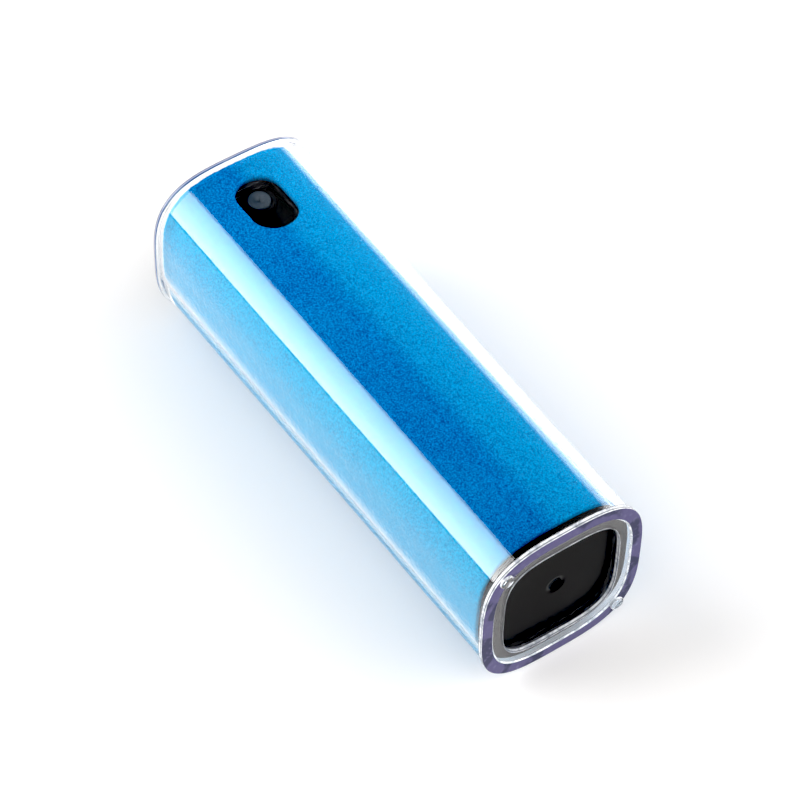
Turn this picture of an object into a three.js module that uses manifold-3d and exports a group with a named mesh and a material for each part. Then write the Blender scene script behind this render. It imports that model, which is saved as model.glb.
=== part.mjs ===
// Pocket mist sprayer for lenses and screens: a pump sprayer wrapped in microfibre cloth, lying in
// its clear slip cover. Millimetres, +Z up. The long axis is X: the press button is at the -X end,
// the base at the +X end, and the nozzle looks up through a window in the cloth.
import * as THREE from "three";
import { mergeVertices } from "three/addons/utils/BufferGeometryUtils.js";
import Module from "manifold-3d";

const wasm = await Module();
wasm.setup();

// ---- driving dimensions -------------------------------------------------------------------------
// Every cross-section is a rounded square, |y/half|^n + |z/half|^n = 1.
const SIDES = 64;               // points round a rounded-square section
const ROUND = 32;               // points round a turned part
const CORNER = 3.18;            // exponent n of the cover and the body
const OPENING_CORNER = 3.7;     // exponent n of the opening in the cover's end ring

const COVER_LENGTH = 100;
const OPEN_END = -COVER_LENGTH / 2;
const RING_END = COVER_LENGTH / 2;
const LIP_HALF = 16.85;
const LIP_THICK = 0.8;
const COVER_OPEN_HALF = 16.38;
const COVER_RING_HALF = 15.78;
const FLANGE_HALF = 16.2;
const FLANGE_THICK = 1.1;
const COVER_INNER_OPEN_HALF = 15.3;
const COVER_INNER_RING_HALF = 14.75;
const RING_THICK = 1.45;
const RING_RECESS = 0.25;       // of the ring's face, behind the flange's
const RING_FACE_HALF = 13.9;
const OPENING_HALF = 11.65;
const GATE_HEIGHT = 0.5;
const GATE_RADIUS = 1.3;
const GATE_OFFSET = 12.1;       // from the axis, in Y and in Z

const CLEARANCE = 0.3;          // between a part and the one that it rests on or is cut by
const SLEEVE_HALF = 14.55;
const SLEEVE_THICK = 1.2;
const HOUSING_HALF = 13.25;
const HOUSING_WALL = 1.25;
const HOUSING_INNER = HOUSING_HALF - HOUSING_WALL;
const BODY_OPEN_END = -49.7;
const BODY_BASE_END = 46.95;
const BASE_FACE = 48.05;
const BASE_FLANGE_HALF = 14.2;
const BASE_SPIGOT_LENGTH = 6;
const BASE_SPIGOT_HALF = 11.85;
const BASE_SPIGOT_INNER = 10.75;
const GATE_DIMPLE_RADIUS = 1.15;
const GATE_DIMPLE_DEPTH = 0.35;

const WINDOW_CENTRE = -38.65;
const WINDOW_LENGTH = 13.3;
const WINDOW_WIDTH = 8.9;
const WINDOW_LEDGE = 0.6;       // the housing's window is this much smaller all round

const BUTTON_FACE = -49.0;
const BUTTON_HALF = 10.4;
const BUTTON_WALL = 1.2;
const BUTTON_FRONT = 1.5;
const BUTTON_SKIRT_END = -43.5;
const COLLAR_HALF = 11.9;
const COLLAR_INNER = 10.6;
const COLLAR_START = -49.2;
const COLLAR_END = -44.3;

const NOZZLE_X = -41.3;
const NOZZLE_RADIUS = 2.1;
const NOZZLE_FACE = 12.7;
const NOZZLE_LENGTH = 2.6;
const NOZZLE_ORIFICE = 0.2;
const ARM_RADIUS = 3.0;
const HUB_RADIUS = 4.0;
const HUB_START = -47.2;
const HUB_END = -33.0;

const STEM_RADIUS = 1.8;
const STEM_BORE = 0.7;
const STEM_START = -39.3;
const STEM_END = -17.0;
const PUMP_TOP = -23.0;
const PUMP_BORE = 2.9;
const PUMP_OUTER = 3.75;
const SPRING_SEAT = -6.0;
const BALL_RADIUS = 1.2;
const BALL_X = -3.65;
const NECK_END = -21.6;
const BOTTLE_RADIUS = 10.5;
const BOTTLE_WALL = 1.0;
const BOTTLE_END = 44.5;
const CLOSURE_RADIUS = 8.5;
const DIP_TUBE_END = 42.5;

const FINISH = {
  clear: { color: 0xe8eef4, roughness: 0.05, metalness: 0, transparent: true, opacity: 0.35 },
  cloth: { color: 0x0a86d4, roughness: 0.95, metalness: 0 },
  black: { color: 0x1a1a1b, roughness: 0.45, metalness: 0 },
  grey: { color: 0x4a4f56, roughness: 0.4, metalness: 0 },
  white: { color: 0xe6e7e4, roughness: 0.4, metalness: 0 },
  bottle: { color: 0xdfe3e4, roughness: 0.35, metalness: 0 },
  gasket: { color: 0xc9c9c4, roughness: 0.7, metalness: 0 },
  steel: { color: 0xa8abae, roughness: 0.25, metalness: 1 },
};

// ---- geometry helpers ---------------------------------------------------------------------------
function volumeOf(positions, index) {
  const corner = [new THREE.Vector3(), new THREE.Vector3(), new THREE.Vector3()];
  let sum = 0;
  for (let i = 0; i < index.length; i += 3) {
    corner.forEach((v, k) => v.fromArray(positions, index[i + k] * 3));
    sum += corner[0].dot(corner[1].clone().cross(corner[2])) / 6;
  }
  return sum;
}

// One closed mesh with shared corners, no flat triangles, and its faces pointing out.
function closed(geometry) {
  const bare = new THREE.BufferGeometry();
  bare.setAttribute("position", geometry.getAttribute("position"));
  if (geometry.index) bare.setIndex(geometry.index);
  const merged = mergeVertices(bare, 1e-4);
  const positions = merged.getAttribute("position").array;
  const all = merged.index.array;
  const kept = [];
  for (let i = 0; i < all.length; i += 3) {
    const [a, b, c] = [all[i], all[i + 1], all[i + 2]];
    if (a !== b && b !== c && c !== a) kept.push(a, b, c);
  }
  if (volumeOf(positions, kept) < 0) kept.reverse();
  merged.setIndex(kept);
  return merged;
}

function solidOf(geometry) {
  const mesh = closed(geometry);
  return new wasm.Manifold(new wasm.Mesh({
    numProp: 3,
    vertProperties: new Float32Array(mesh.getAttribute("position").array),
    triVerts: new Uint32Array(mesh.index.array),
  }));
}

function geometryOf(solid) {
  const { vertProperties, triVerts } = solid.getMesh();
  const geometry = new THREE.BufferGeometry();
  geometry.setAttribute("position", new THREE.BufferAttribute(new Float32Array(vertProperties), 3));
  geometry.setIndex(new THREE.BufferAttribute(new Uint32Array(triVerts), 1));
  return geometry;
}

function build(base, { add = [], cut = [] }) {
  const grown = add.reduce((solid, extra) => solid.add(solidOf(extra)), solidOf(base));
  return geometryOf(cut.reduce((solid, tool) => solid.subtract(solidOf(tool)), grown));
}

// A skin through rounded-square rings [x, half width, exponent]. It closes on itself as a tube, or
// has a flat cap at each end.
function loft(rings, isTube) {
  const positions = [];
  const index = [];
  for (const [x, half, n = CORNER] of rings) {
    for (let i = 0; i < SIDES; i += 1) {
      const angle = (2 * Math.PI * i) / SIDES;
      const [c, s] = [Math.cos(angle), Math.sin(angle)];
      const radius = half * (Math.abs(c) ** n + Math.abs(s) ** n) ** (-1 / n);
      positions.push(x, radius * c, radius * s);
    }
  }
  const spans = isTube ? rings.length : rings.length - 1;
  for (let r = 0; r < spans; r += 1) {
    const [here, next] = [r * SIDES, ((r + 1) % rings.length) * SIDES];
    for (let i = 0; i < SIDES; i += 1) {
      const j = (i + 1) % SIDES;
      index.push(here + i, here + j, next + j, here + i, next + j, next + i);
    }
  }
  if (!isTube) {
    const last = (rings.length - 1) * SIDES;
    const centre = positions.length / 3;
    positions.push(rings[0][0], 0, 0, rings[rings.length - 1][0], 0, 0);
    for (let i = 0; i < SIDES; i += 1) {
      const j = (i + 1) % SIDES;
      index.push(centre, j, i, centre + 1, last + i, last + j);
    }
  }
  const geometry = new THREE.BufferGeometry();
  geometry.setAttribute("position", new THREE.Float32BufferAttribute(positions, 3));
  geometry.setIndex(index);
  return closed(geometry);
}

// A body turned about the X axis from [x, radius] points, closed on the axis or on itself.
function turned(profile, segments = ROUND) {
  const points = profile.map(([x, radius]) => new THREE.Vector2(radius, x));
  if (profile[0][1] > 0) points.push(points[0].clone());
  return closed(new THREE.LatheGeometry(points, segments).rotateZ(-Math.PI / 2));
}

function rod(radius, from, to, segments = ROUND) {
  return turned([[from, 0], [from, radius], [to, radius], [to, 0]], segments);
}

function upright(radius, x, from, to, segments = ROUND) {
  return new THREE.CylinderGeometry(radius, radius, to - from, segments)
    .rotateX(Math.PI / 2)
    .translate(x, 0, (from + to) / 2);
}

function block([x0, x1], [y0, y1], [z0, z1]) {
  return new THREE.BoxGeometry(x1 - x0, y1 - y0, z1 - z0)
    .translate((x0 + x1) / 2, (y0 + y1) / 2, (z0 + z1) / 2);
}

// A prism with round ends along X, standing from z0 to z1.
function slotPrism(centre, length, width, z0, z1) {
  const reach = (length - width) / 2;
  const outline = new THREE.Shape();
  outline.absarc(reach, 0, width / 2, -Math.PI / 2, Math.PI / 2, false);
  outline.absarc(-reach, 0, width / 2, Math.PI / 2, (3 * Math.PI) / 2, false);
  return new THREE.ExtrudeGeometry(outline, { depth: z1 - z0, bevelEnabled: false, curveSegments: 10 })
    .translate(centre, 0, z0);
}

function piece(name, geometry, finish) {
  const mesh = new THREE.Mesh(geometry, new THREE.MeshStandardMaterial(finish));
  mesh.name = name;
  return mesh;
}

// ---- cover --------------------------------------------------------------------------------------
// One clear moulding: a drafted tube with a lip at its open end, and an inward end ring with a flange.
function clearCover() {
  const ringInside = RING_END - RING_THICK;
  const ringFace = RING_END - RING_RECESS;
  const shell = loft([
    [OPEN_END, LIP_HALF],
    [OPEN_END + LIP_THICK, LIP_HALF],
    [OPEN_END + LIP_THICK, COVER_OPEN_HALF],
    [RING_END - FLANGE_THICK, COVER_RING_HALF],
    [RING_END - FLANGE_THICK, FLANGE_HALF],
    [RING_END, FLANGE_HALF],
    [RING_END, RING_FACE_HALF + RING_RECESS],
    [ringFace, RING_FACE_HALF],
    [ringFace, OPENING_HALF, OPENING_CORNER],
    [ringInside, OPENING_HALF, OPENING_CORNER],
    [ringInside, COVER_INNER_RING_HALF],
    [OPEN_END, COVER_INNER_OPEN_HALF],
  ], true);
  const gates = [-1, 1].map((side) => rod(GATE_RADIUS, ringInside + 0.2, RING_END + GATE_HEIGHT, 16)
    .translate(0, side * GATE_OFFSET, -side * GATE_OFFSET));
  return piece("clear_cover", build(shell, { add: gates }), FINISH.clear);
}

// ---- body ---------------------------------------------------------------------------------------
function microfiberSleeve() {
  const inner = SLEEVE_HALF - SLEEVE_THICK;
  const tube = loft([
    [BODY_OPEN_END, SLEEVE_HALF],
    [BODY_BASE_END - 0.1, SLEEVE_HALF],
    [BODY_BASE_END - 0.1, inner],
    [BODY_OPEN_END, inner],
  ], true);
  const window = slotPrism(WINDOW_CENTRE, WINDOW_LENGTH, WINDOW_WIDTH, HOUSING_INNER - 2, SLEEVE_HALF + 1);
  return piece("microfiber_sleeve", build(tube, { cut: [window] }), FINISH.cloth);
}

// The housing's window runs out to the open end as a slot, so that the nozzle can be fitted.
function bodyHousing() {
  const tube = loft([
    [BODY_OPEN_END, HOUSING_HALF],
    [BODY_BASE_END - CLEARANCE, HOUSING_HALF],
    [BODY_BASE_END - CLEARANCE, HOUSING_INNER],
    [BODY_OPEN_END, HOUSING_INNER],
  ], true);
  const [length, width] = [WINDOW_LENGTH - 2 * WINDOW_LEDGE, WINDOW_WIDTH - 2 * WINDOW_LEDGE];
  const [z0, z1] = [HOUSING_INNER - 2, HOUSING_HALF + 1];
  const window = slotPrism(WINDOW_CENTRE, length, width, z0, z1);
  const slot = block([BODY_OPEN_END - 1, WINDOW_CENTRE], [-width / 2, width / 2], [z0, z1]);
  return piece("body_housing", build(tube, { cut: [window, slot] }), FINISH.black);
}

function baseCap() {
  const start = BODY_BASE_END - BASE_SPIGOT_LENGTH;
  const cup = loft([
    [start, BASE_SPIGOT_HALF],
    [BODY_BASE_END, BASE_SPIGOT_HALF],
    [BODY_BASE_END, BASE_FLANGE_HALF],
    [BASE_FACE - 0.3, BASE_FLANGE_HALF],
    [BASE_FACE, BASE_FLANGE_HALF - 0.3],
  ], false);
  const hollow = loft([[start - 1, BASE_SPIGOT_INNER], [BODY_BASE_END - 0.3, BASE_SPIGOT_INNER]], false);
  const dimple = rod(GATE_DIMPLE_RADIUS, BASE_FACE - GATE_DIMPLE_DEPTH, BASE_FACE + 1);
  return piece("base_cap", build(cup, { cut: [hollow, dimple] }), FINISH.black);
}

// The guide ring at the open end. Its key fills the end of the housing's slot.
function topCollar() {
  const ring = loft([
    [COLLAR_START, COLLAR_HALF],
    [COLLAR_END, COLLAR_HALF],
    [COLLAR_END, COLLAR_INNER],
    [COLLAR_START, COLLAR_INNER],
  ], true);
  const keyHalf = WINDOW_WIDTH / 2 - WINDOW_LEDGE - CLEARANCE;
  const keyHeight = [COLLAR_HALF - 0.6, HOUSING_HALF - 0.1];
  const key = block([COLLAR_START, COLLAR_END - CLEARANCE], [-keyHalf, keyHalf], keyHeight);
  return piece("top_collar", build(ring, { add: [key] }), FINISH.black);
}

// A web across the housing that holds the pump's closure on the axis.
function bottleBracket() {
  const web = loft([[-20, HOUSING_INNER - 0.15], [-18.4, HOUSING_INNER - 0.15]], false);
  const hole = rod(CLOSURE_RADIUS + CLEARANCE, -21, -17);
  return piece("bottle_bracket", build(web, { cut: [hole] }), FINISH.black);
}

// ---- bottle and pump ----------------------------------------------------------------------------
function bottle() {
  const [outer, inner] = [BOTTLE_RADIUS, BOTTLE_RADIUS - BOTTLE_WALL];
  return piece("bottle", turned([
    [NECK_END, 5.2],
    [NECK_END, 6.5],
    [-12.5, 6.5],
    [-11.5, 8.6],
    [-8.5, outer],
    [BOTTLE_END - 1.2, outer],
    [BOTTLE_END, outer - 1.2],
    [BOTTLE_END, 4],
    [BOTTLE_END - 0.8, 0],
    [BOTTLE_END - 0.8 - BOTTLE_WALL, 0],
    [BOTTLE_END - BOTTLE_WALL, 4],
    [BOTTLE_END - 2, inner],
    [-8.2, inner],
    [-11.5, 7.2],
    [-12.3, 5.2],
  ]), FINISH.bottle);
}

function neckGasket() {
  const [start, end] = [NECK_END - 0.65, NECK_END - 0.05];
  return piece("neck_gasket", turned([[start, 4.1], [start, 6.4], [end, 6.4], [end, 4.1]]), FINISH.gasket);
}

// Screw closure: a ribbed skirt round the neck under a top wall that the stem passes through.
function pumpClosure() {
  const skirt = turned([
    [-24.6, 4.4],
    [-24.6, CLOSURE_RADIUS - 0.6],
    [-24.0, CLOSURE_RADIUS],
    [-13.2, CLOSURE_RADIUS],
    [-13.2, 6.8],
    [-23.2, 6.8],
    [-23.2, 4.4],
  ]);
  const grooves = [];
  for (let i = 0; i < 12; i += 1) {
    const angle = (2 * Math.PI * i) / 12;
    const [y, z] = [CLOSURE_RADIUS * Math.cos(angle), CLOSURE_RADIUS * Math.sin(angle)];
    grooves.push(rod(0.45, -22.5, -13, 6).translate(0, y, z));
  }
  return piece("pump_closure", build(skirt, { cut: grooves }), FINISH.white);
}

function pumpHousing() {
  return piece("pump_housing", turned([
    [PUMP_TOP, PUMP_BORE],
    [PUMP_TOP, 6.4],
    [PUMP_TOP + 0.7, 6.4],
    [PUMP_TOP + 0.7, PUMP_OUTER],
    [-5, PUMP_OUTER],
    [-4, 2.6],
    [2, 2.6],
    [2, 1.45],
    [-1, 1.45],
    [-1, 0.7],
    [-2.6, 0.7],
    [-2.6, 1.6],
    [SPRING_SEAT, 1.6],
    [SPRING_SEAT, PUMP_BORE],
  ]), FINISH.white);
}

function stemRetainer() {
  return piece("stem_retainer", turned([
    [-24.4, STEM_RADIUS + 0.15],
    [-24.4, 4.2],
    [PUMP_TOP - 0.1, 4.2],
    [PUMP_TOP - 0.1, 2.75],
    [-20.5, 2.75],
    [-20.5, STEM_RADIUS + 0.15],
  ], 24), FINISH.white);
}

function inletBall() {
  const ball = closed(new THREE.SphereGeometry(BALL_RADIUS, 16, 10));
  return piece("inlet_ball", ball.translate(BALL_X, 0, 0), FINISH.steel);
}

function dipTube() {
  return piece("dip_tube", turned([
    [-0.8, 0.8],
    [-0.8, 1.35],
    [DIP_TUBE_END, 1.35],
    [DIP_TUBE_END, 0.8],
  ], 16), FINISH.bottle);
}

class CoilCurve extends THREE.Curve {
  constructor(radius, turns, start, end) {
    super();
    Object.assign(this, { radius, turns, start, end });
  }

  getPoint(t, target = new THREE.Vector3()) {
    const angle = 2 * Math.PI * this.turns * t;
    const x = this.start + (this.end - this.start) * t;
    return target.set(x, this.radius * Math.cos(angle), this.radius * Math.sin(angle));
  }
}

function wireSection(radius, sides) {
  const outline = new THREE.Shape();
  for (let i = 0; i < sides; i += 1) {
    const angle = (2 * Math.PI * i) / sides;
    const [x, y] = [radius * Math.cos(angle), radius * Math.sin(angle)];
    if (i === 0) outline.moveTo(x, y);
    else outline.lineTo(x, y);
  }
  outline.closePath();
  return outline;
}

function pumpSpring() {
  const path = new CoilCurve(2.15, 6, -15.0, SPRING_SEAT - 0.45);
  const options = { steps: 66, bevelEnabled: false, extrudePath: path };
  const wire = new THREE.ExtrudeGeometry(wireSection(0.27, 6), options);
  return piece("pump_spring", closed(wire), FINISH.steel);
}

// ---- plunger ------------------------------------------------------------------------------------
function pumpPiston() {
  return piece("pump_piston", turned([
    [-20, STEM_RADIUS + 0.1],
    [-20, PUMP_BORE - 0.1],
    [-18.8, PUMP_BORE - 0.1],
    [-18.2, 2.5],
    [-16.6, 2.5],
    [-15.6, PUMP_BORE - 0.1],
    [-15.6, STEM_BORE],
    [STEM_END + 0.1, STEM_BORE],
    [STEM_END + 0.1, STEM_RADIUS + 0.1],
  ], 24), FINISH.white);
}

function pumpStem() {
  return piece("pump_stem", turned([
    [STEM_START, STEM_BORE],
    [STEM_START, STEM_RADIUS],
    [STEM_END, STEM_RADIUS],
    [STEM_END, STEM_BORE],
  ], 24), FINISH.white);
}

// The head on the stem: a hub, a spray arm up to the window, a plate that closes the window from
// inside, and two wings that stop it turning. Its passage runs from the stem up to the nozzle.
function actuatorHead() {
  const armTop = NOZZLE_FACE - 0.35;
  const hub = rod(HUB_RADIUS, HUB_START, HUB_END);
  const add = [
    upright(ARM_RADIUS, NOZZLE_X, 0, armTop),
    block([COLLAR_END + CLEARANCE, -28], [-4.9, 4.9], [10.7, 11.4]),
    block([-38, -33.5], [-11.6, 11.6], [-1, 1]),
    block([-40.5, -33.5], [-1, 1], [0, 11]),
  ];
  const cut = [
    rod(STEM_RADIUS + 0.12, STEM_START - 0.2, HUB_END + 1),
    rod(STEM_BORE, NOZZLE_X, STEM_START, 12),
    upright(STEM_BORE, NOZZLE_X, 0, NOZZLE_FACE - NOZZLE_LENGTH, 12),
    upright(NOZZLE_RADIUS + 0.15, NOZZLE_X, NOZZLE_FACE - NOZZLE_LENGTH - 0.15, NOZZLE_FACE),
  ];
  return piece("actuator_head", build(hub, { add, cut }), FINISH.black);
}

function nozzleInsert() {
  const bottom = NOZZLE_FACE - NOZZLE_LENGTH;
  const cup = upright(NOZZLE_RADIUS, NOZZLE_X, bottom, NOZZLE_FACE);
  const chamber = upright(1.1, NOZZLE_X, bottom - 1, NOZZLE_FACE - 0.7, 16);
  const orifice = upright(NOZZLE_ORIFICE, NOZZLE_X, bottom, NOZZLE_FACE + 1, 8);
  const swirl = new THREE.CylinderGeometry(0.75, NOZZLE_ORIFICE, 0.35, 16)
    .rotateX(Math.PI / 2)
    .translate(NOZZLE_X, 0, NOZZLE_FACE - 0.125);
  return piece("nozzle_insert", build(cup, { cut: [chamber, orifice, swirl] }), FINISH.grey);
}

// A cup with a crowned face, a socket for the head's hub, and two side hooks that catch the collar.
function pressButton() {
  const shell = loft([
    [BUTTON_FACE, BUTTON_HALF - 1.6],
    [BUTTON_FACE + 0.25, BUTTON_HALF - 0.6],
    [BUTTON_FACE + 0.8, BUTTON_HALF],
    [BUTTON_SKIRT_END, BUTTON_HALF],
  ], false);
  const inside = BUTTON_FACE + BUTTON_FRONT;
  const hollowHalf = BUTTON_HALF - BUTTON_WALL;
  const hollow = loft([[inside, hollowHalf], [BUTTON_SKIRT_END + 1, hollowHalf]], false);
  const socket = turned([[inside - 0.5, 4.3], [inside - 0.5, 5.4], [-44.6, 5.4], [-44.6, 4.3]]);
  const hooks = [-1, 1].map((side) => block(
    [COLLAR_END + CLEARANCE, BUTTON_SKIRT_END],
    [side * 10.5 - 1.1, side * 10.5 + 1.1],
    [-3, 3],
  ));
  const cup = build(shell, { cut: [hollow] });
  const reach = ARM_RADIUS + CLEARANCE;
  const armNotch = block([NOZZLE_X - reach, BUTTON_SKIRT_END + 1], [-reach, reach], [6, BUTTON_HALF + 1]);
  return piece("press_button", build(cup, { add: [socket, ...hooks], cut: [armNotch] }), FINISH.black);
}

// ---- the whole object ---------------------------------------------------------------------------
const sprayer = new THREE.Group();
sprayer.add(
  clearCover(),
  microfiberSleeve(),
  bodyHousing(),
  baseCap(),
  topCollar(),
  bottleBracket(),
  bottle(),
  neckGasket(),
  pumpClosure(),
  pumpHousing(),
  stemRetainer(),
  inletBall(),
  dipTube(),
  pumpSpring(),
  pumpPiston(),
  pumpStem(),
  actuatorHead(),
  nozzleInsert(),
  pressButton(),
);
// The origin is under the middle of the cover, on the surface that its lip lies on.
sprayer.position.set(-GATE_HEIGHT / 2, 0, LIP_HALF);

const part = new THREE.Group();
part.add(sprayer);
export default part;
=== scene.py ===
"""Looks of the lens cleaning spray: a cloth-wrapped pump sprayer in its clear slip cover."""

import math

import bmesh
import bpy
import numpy as np
from mathutils import Matrix, Vector


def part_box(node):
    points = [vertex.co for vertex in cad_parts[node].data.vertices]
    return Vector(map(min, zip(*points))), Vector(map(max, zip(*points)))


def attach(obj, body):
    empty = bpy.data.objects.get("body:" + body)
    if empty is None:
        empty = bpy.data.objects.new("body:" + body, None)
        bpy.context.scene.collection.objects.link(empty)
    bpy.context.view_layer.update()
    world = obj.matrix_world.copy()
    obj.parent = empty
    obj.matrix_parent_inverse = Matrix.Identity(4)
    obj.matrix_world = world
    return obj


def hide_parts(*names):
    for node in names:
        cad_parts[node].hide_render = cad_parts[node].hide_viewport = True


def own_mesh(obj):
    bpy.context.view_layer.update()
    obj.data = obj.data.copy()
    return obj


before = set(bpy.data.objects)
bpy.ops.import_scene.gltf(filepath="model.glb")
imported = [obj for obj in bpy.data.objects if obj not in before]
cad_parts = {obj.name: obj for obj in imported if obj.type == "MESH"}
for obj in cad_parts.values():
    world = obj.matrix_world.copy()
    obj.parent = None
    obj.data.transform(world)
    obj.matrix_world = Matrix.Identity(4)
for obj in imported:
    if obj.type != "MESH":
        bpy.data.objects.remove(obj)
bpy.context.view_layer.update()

MM = 0.001
SEED = 7

# ---- places and sizes -----------------------------------------------------------------------------
cover_low, cover_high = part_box("clear_cover")
sleeve_low, sleeve_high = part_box("microfiber_sleeve")
housing_low, housing_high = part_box("body_housing")
base_low, base_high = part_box("base_cap")
nozzle_low, nozzle_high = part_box("nozzle_insert")
button_low, button_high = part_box("press_button")
collar_low, collar_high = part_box("top_collar")
AXIS_Z = (cover_low.z + cover_high.z) / 2
CORNER = 3.18                   # exponent of the rounded-square sections
OPENING_CORNER = 3.7            # of the end ring's opening, which is squarer
ROUND = 2.0                     # of a circle
CLEAR_WALL, END_FACE, FROSTED_PAINTED_LIGHT, LIP_RIM = range(4)       # the cover's materials, by number
BODY_SIDES = 160                # points in a ring of the black pieces
SAME_PLACE = 1e-6               # in metres: points closer than this along X are level
LIP_THICK = 0.8 * MM
FLANGE_THICK = 1.1 * MM
FLANGE_HALF = 16.2 * MM
RING_THICK = 1.45 * MM          # from the flange's front to the back of the inward ring
RING_RECESS = 0.25 * MM         # of the ring's face behind the flange's front
RING_OPENING = 11.65 * MM       # half of the opening's height
RIM_INNER = 14.15 * MM          # half of the recess's height, at the flange's front
GATE_HEIGHT = 0.5 * MM
GATE_RADIUS = 1.3 * MM
GATE_OFFSET = 12.1 * MM         # of a gate mark from the axis, in Y and in Z
GATE_ROUND = 0.3 * MM
OPEN_END = cover_low.x
RING_END = cover_high.x - GATE_HEIGHT
MIDDLE_X = (OPEN_END + RING_END) / 2
WINDOW_X = MIDDLE_X - 38.65 * MM
WINDOW_LENGTH, WINDOW_WIDTH = 13.3 * MM, 8.9 * MM
WINDOW_LEDGE = 0.6 * MM         # the housing's window is this much smaller all round
CUT_DEPTH, CUT_ABOVE = 4 * MM, 2 * MM   # of a window's cutter, below and above the surface
SLEEVE_THICK = 1.2 * MM
SLEEVE_GRID, SLEEVE_SIDES = 0.34 * MM, 304      # spacing of the cloth's rings, and points in a ring
NAP, NAP_LIMIT = 0.035 * MM, 0.08 * MM  # spread and limit of the pile's unevenness
CUT_EDGE_NAP = 0.12 * MM        # unevenness of the cloth's cut ends
HOUSING_WALL = 1.25 * MM
PLUG_HALF, PLUG_BORE, PLUG_REACH = 11.85 * MM, 10.75 * MM, 6 * MM      # of the base
DIMPLE_RADIUS = 1.15 * MM
DISH_DEPTH, DISH_HALF = 0.35 * MM, 8.8 * MM     # of the button's press face
SOCKET_RADIUS, SOCKET_BORE = 5.4 * MM, 4.3 * MM
KEY_HALF_WIDTH, KEY_TOP = 3.55 * MM, 13.15 * MM  # of the collar's key, from the axis
COIL_RADIUS, WIRE_RADIUS = 2.15 * MM, 0.27 * MM
COIL_TURNS, DEAD_TURNS = 8, 0.75        # all turns, and the part of a turn kept back at each end
WELD_REACH, EDGE_BEVEL = 0.002 * MM, 0.09 * MM  # on the CAD pieces that are shown as they are
SHARP_ANGLE = 38                # degrees: their edges sharper than this are softened
ARC_STEPS = 5                   # faces across a rounded edge
ARC_GUARD = 0.03 * MM           # a support ring lies this far outside each end of the arc
ARC_ROOM, GUARD_ROOM = 0.45, 0.49       # most of the shorter side that an arc, and its guard, may take

# ---- looks ----------------------------------------------------------------------------------------
TRAPPED_DEPTH = 4.5             # after so many turns, light caught in the clear wall leaves it
PAINTED_SHEEN_START, PAINTED_SHEEN_END = 0.64, 0.96       # facing away by this much, the cloth gets a pale painted sheen
CLOTH_TONES = (                 # (dark specks, light specks) of three tones: painted shade on the top's -Y half, painted light on the top towards +Y, painted light on the -Y side
    ((0.002, 0.09, 0.30), (0.010, 0.30, 0.72)),
    ((0.001, 0.19, 0.46), (0.003, 0.47, 0.86)),
    ((0.003, 0.27, 0.54), (0.010, 0.57, 0.88)),
)
BLACK_LEVEL = 0.04
AMBIENT, SHADE = 0.41, 0.01     # the sky's even level from 27 degrees towards +Y on, and before 24
BOX_X, BOX_HALF, BOX_FADE = -0.52, 0.16, 0.12   # the left light's place, half length and fade along X
LEFT_NEAR, LEFT_FAR = 8.1, 4.25         # its level at its low and its high edge
RIGHT_LEVEL = 4.0
KEY_X = 0.0                     # the key light fades in from here, towards +X
KEY_LEFT, KEY_RIGHT = 1.2, 2.2  # its level at the -Y and the +Y side
BACK_LEVEL = 1.5
TABLE_HALF = 2.5
CAMERA_TURNS = (53.936, 50.484, 1.828)  # azimuth, elevation and roll in degrees
CAMERA_LENS, CAMERA_DISTANCE = 147.576, 566.34  # mm
AIM_RIGHT, AIM_DOWN = 1.614, 0.397      # mm, of the aim point from the cover's middle


# ---- nodes ----------------------------------------------------------------------------------------
class Tree:
    """A node tree with short calls for the nodes that the materials use."""

    def __init__(self, tree):
        self.tree = tree
        self.nodes = tree.nodes
        self.nodes.clear()

    def add(self, kind, inputs=None, **settings):
        node = self.nodes.new(kind)
        for key, value in settings.items():
            setattr(node, key, value)
        for key, value in (inputs or {}).items():
            self.feed(node.inputs[key], value)
        return node

    def feed(self, socket, value):
        if isinstance(value, bpy.types.NodeSocket):
            self.tree.links.new(value, socket)
        else:
            socket.default_value = value

    def math(self, operation, a, b=0.0):
        return self.add("ShaderNodeMath", {0: a, 1: b}, operation=operation).outputs[0]

    def product(self, *values):
        total = values[0]
        for value in values[1:]:
            total = self.math("MULTIPLY", total, value)
        return total

    def ramp(self, value, low, high, out_low=0.0, out_high=1.0, smooth=True):
        node = self.add("ShaderNodeMapRange", {
            "Value": value, "From Min": low, "From Max": high, "To Min": out_low, "To Max": out_high,
        }, interpolation_type="SMOOTHSTEP" if smooth else "LINEAR")
        return node.outputs["Result"]

    def mix(self, share, a, b):
        node = self.add("ShaderNodeMix", data_type="RGBA")
        for name, value in (("Factor_Float", share), ("A_Color", a), ("B_Color", b)):
            self.feed(next(s for s in node.inputs if s.identifier == name), value)
        return next(s for s in node.outputs if s.identifier == "Result_Color")

    def noise(self, scale, detail=2.0, rough=0.5):
        return self.add("ShaderNodeTexNoise", {
            "Vector": self.place(), "Scale": scale, "Detail": detail, "Roughness": rough,
        }).outputs["Fac"]

    def place(self):
        return self.add("ShaderNodeTexCoord").outputs["Object"]

    def place_x(self):
        return self.add("ShaderNodeSeparateXYZ", {0: self.place()}).outputs[0]

    def turn(self):
        """The angle round the long axis, in degrees: 0 at the top, + to +Y."""
        spot = self.add("ShaderNodeSeparateXYZ", {0: self.place()})
        up = self.math("SUBTRACT", spot.outputs[2], AXIS_Z)
        return self.degrees(spot.outputs[1], up)

    def degrees(self, y, z):
        return self.math("MULTIPLY", self.math("ARCTAN2", y, z), 180 / math.pi)

    def bump(self, height, strength, distance):
        return self.add("ShaderNodeBump", {
            "Height": height, "Strength": strength, "Distance": distance,
        }).outputs["Normal"]


def material(name):
    """A new material and the tree to fill."""
    made = bpy.data.materials.new(name)
    made.use_nodes = True
    return made, Tree(made.node_tree)


def finish_with(tree, shader):
    tree.add("ShaderNodeOutputMaterial", {"Surface": shader})


def rgb(r, g, b):
    return (r, g, b, 1.0)


WHITE_LIGHT = rgb(1.0, 1.0, 1.0)


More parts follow.
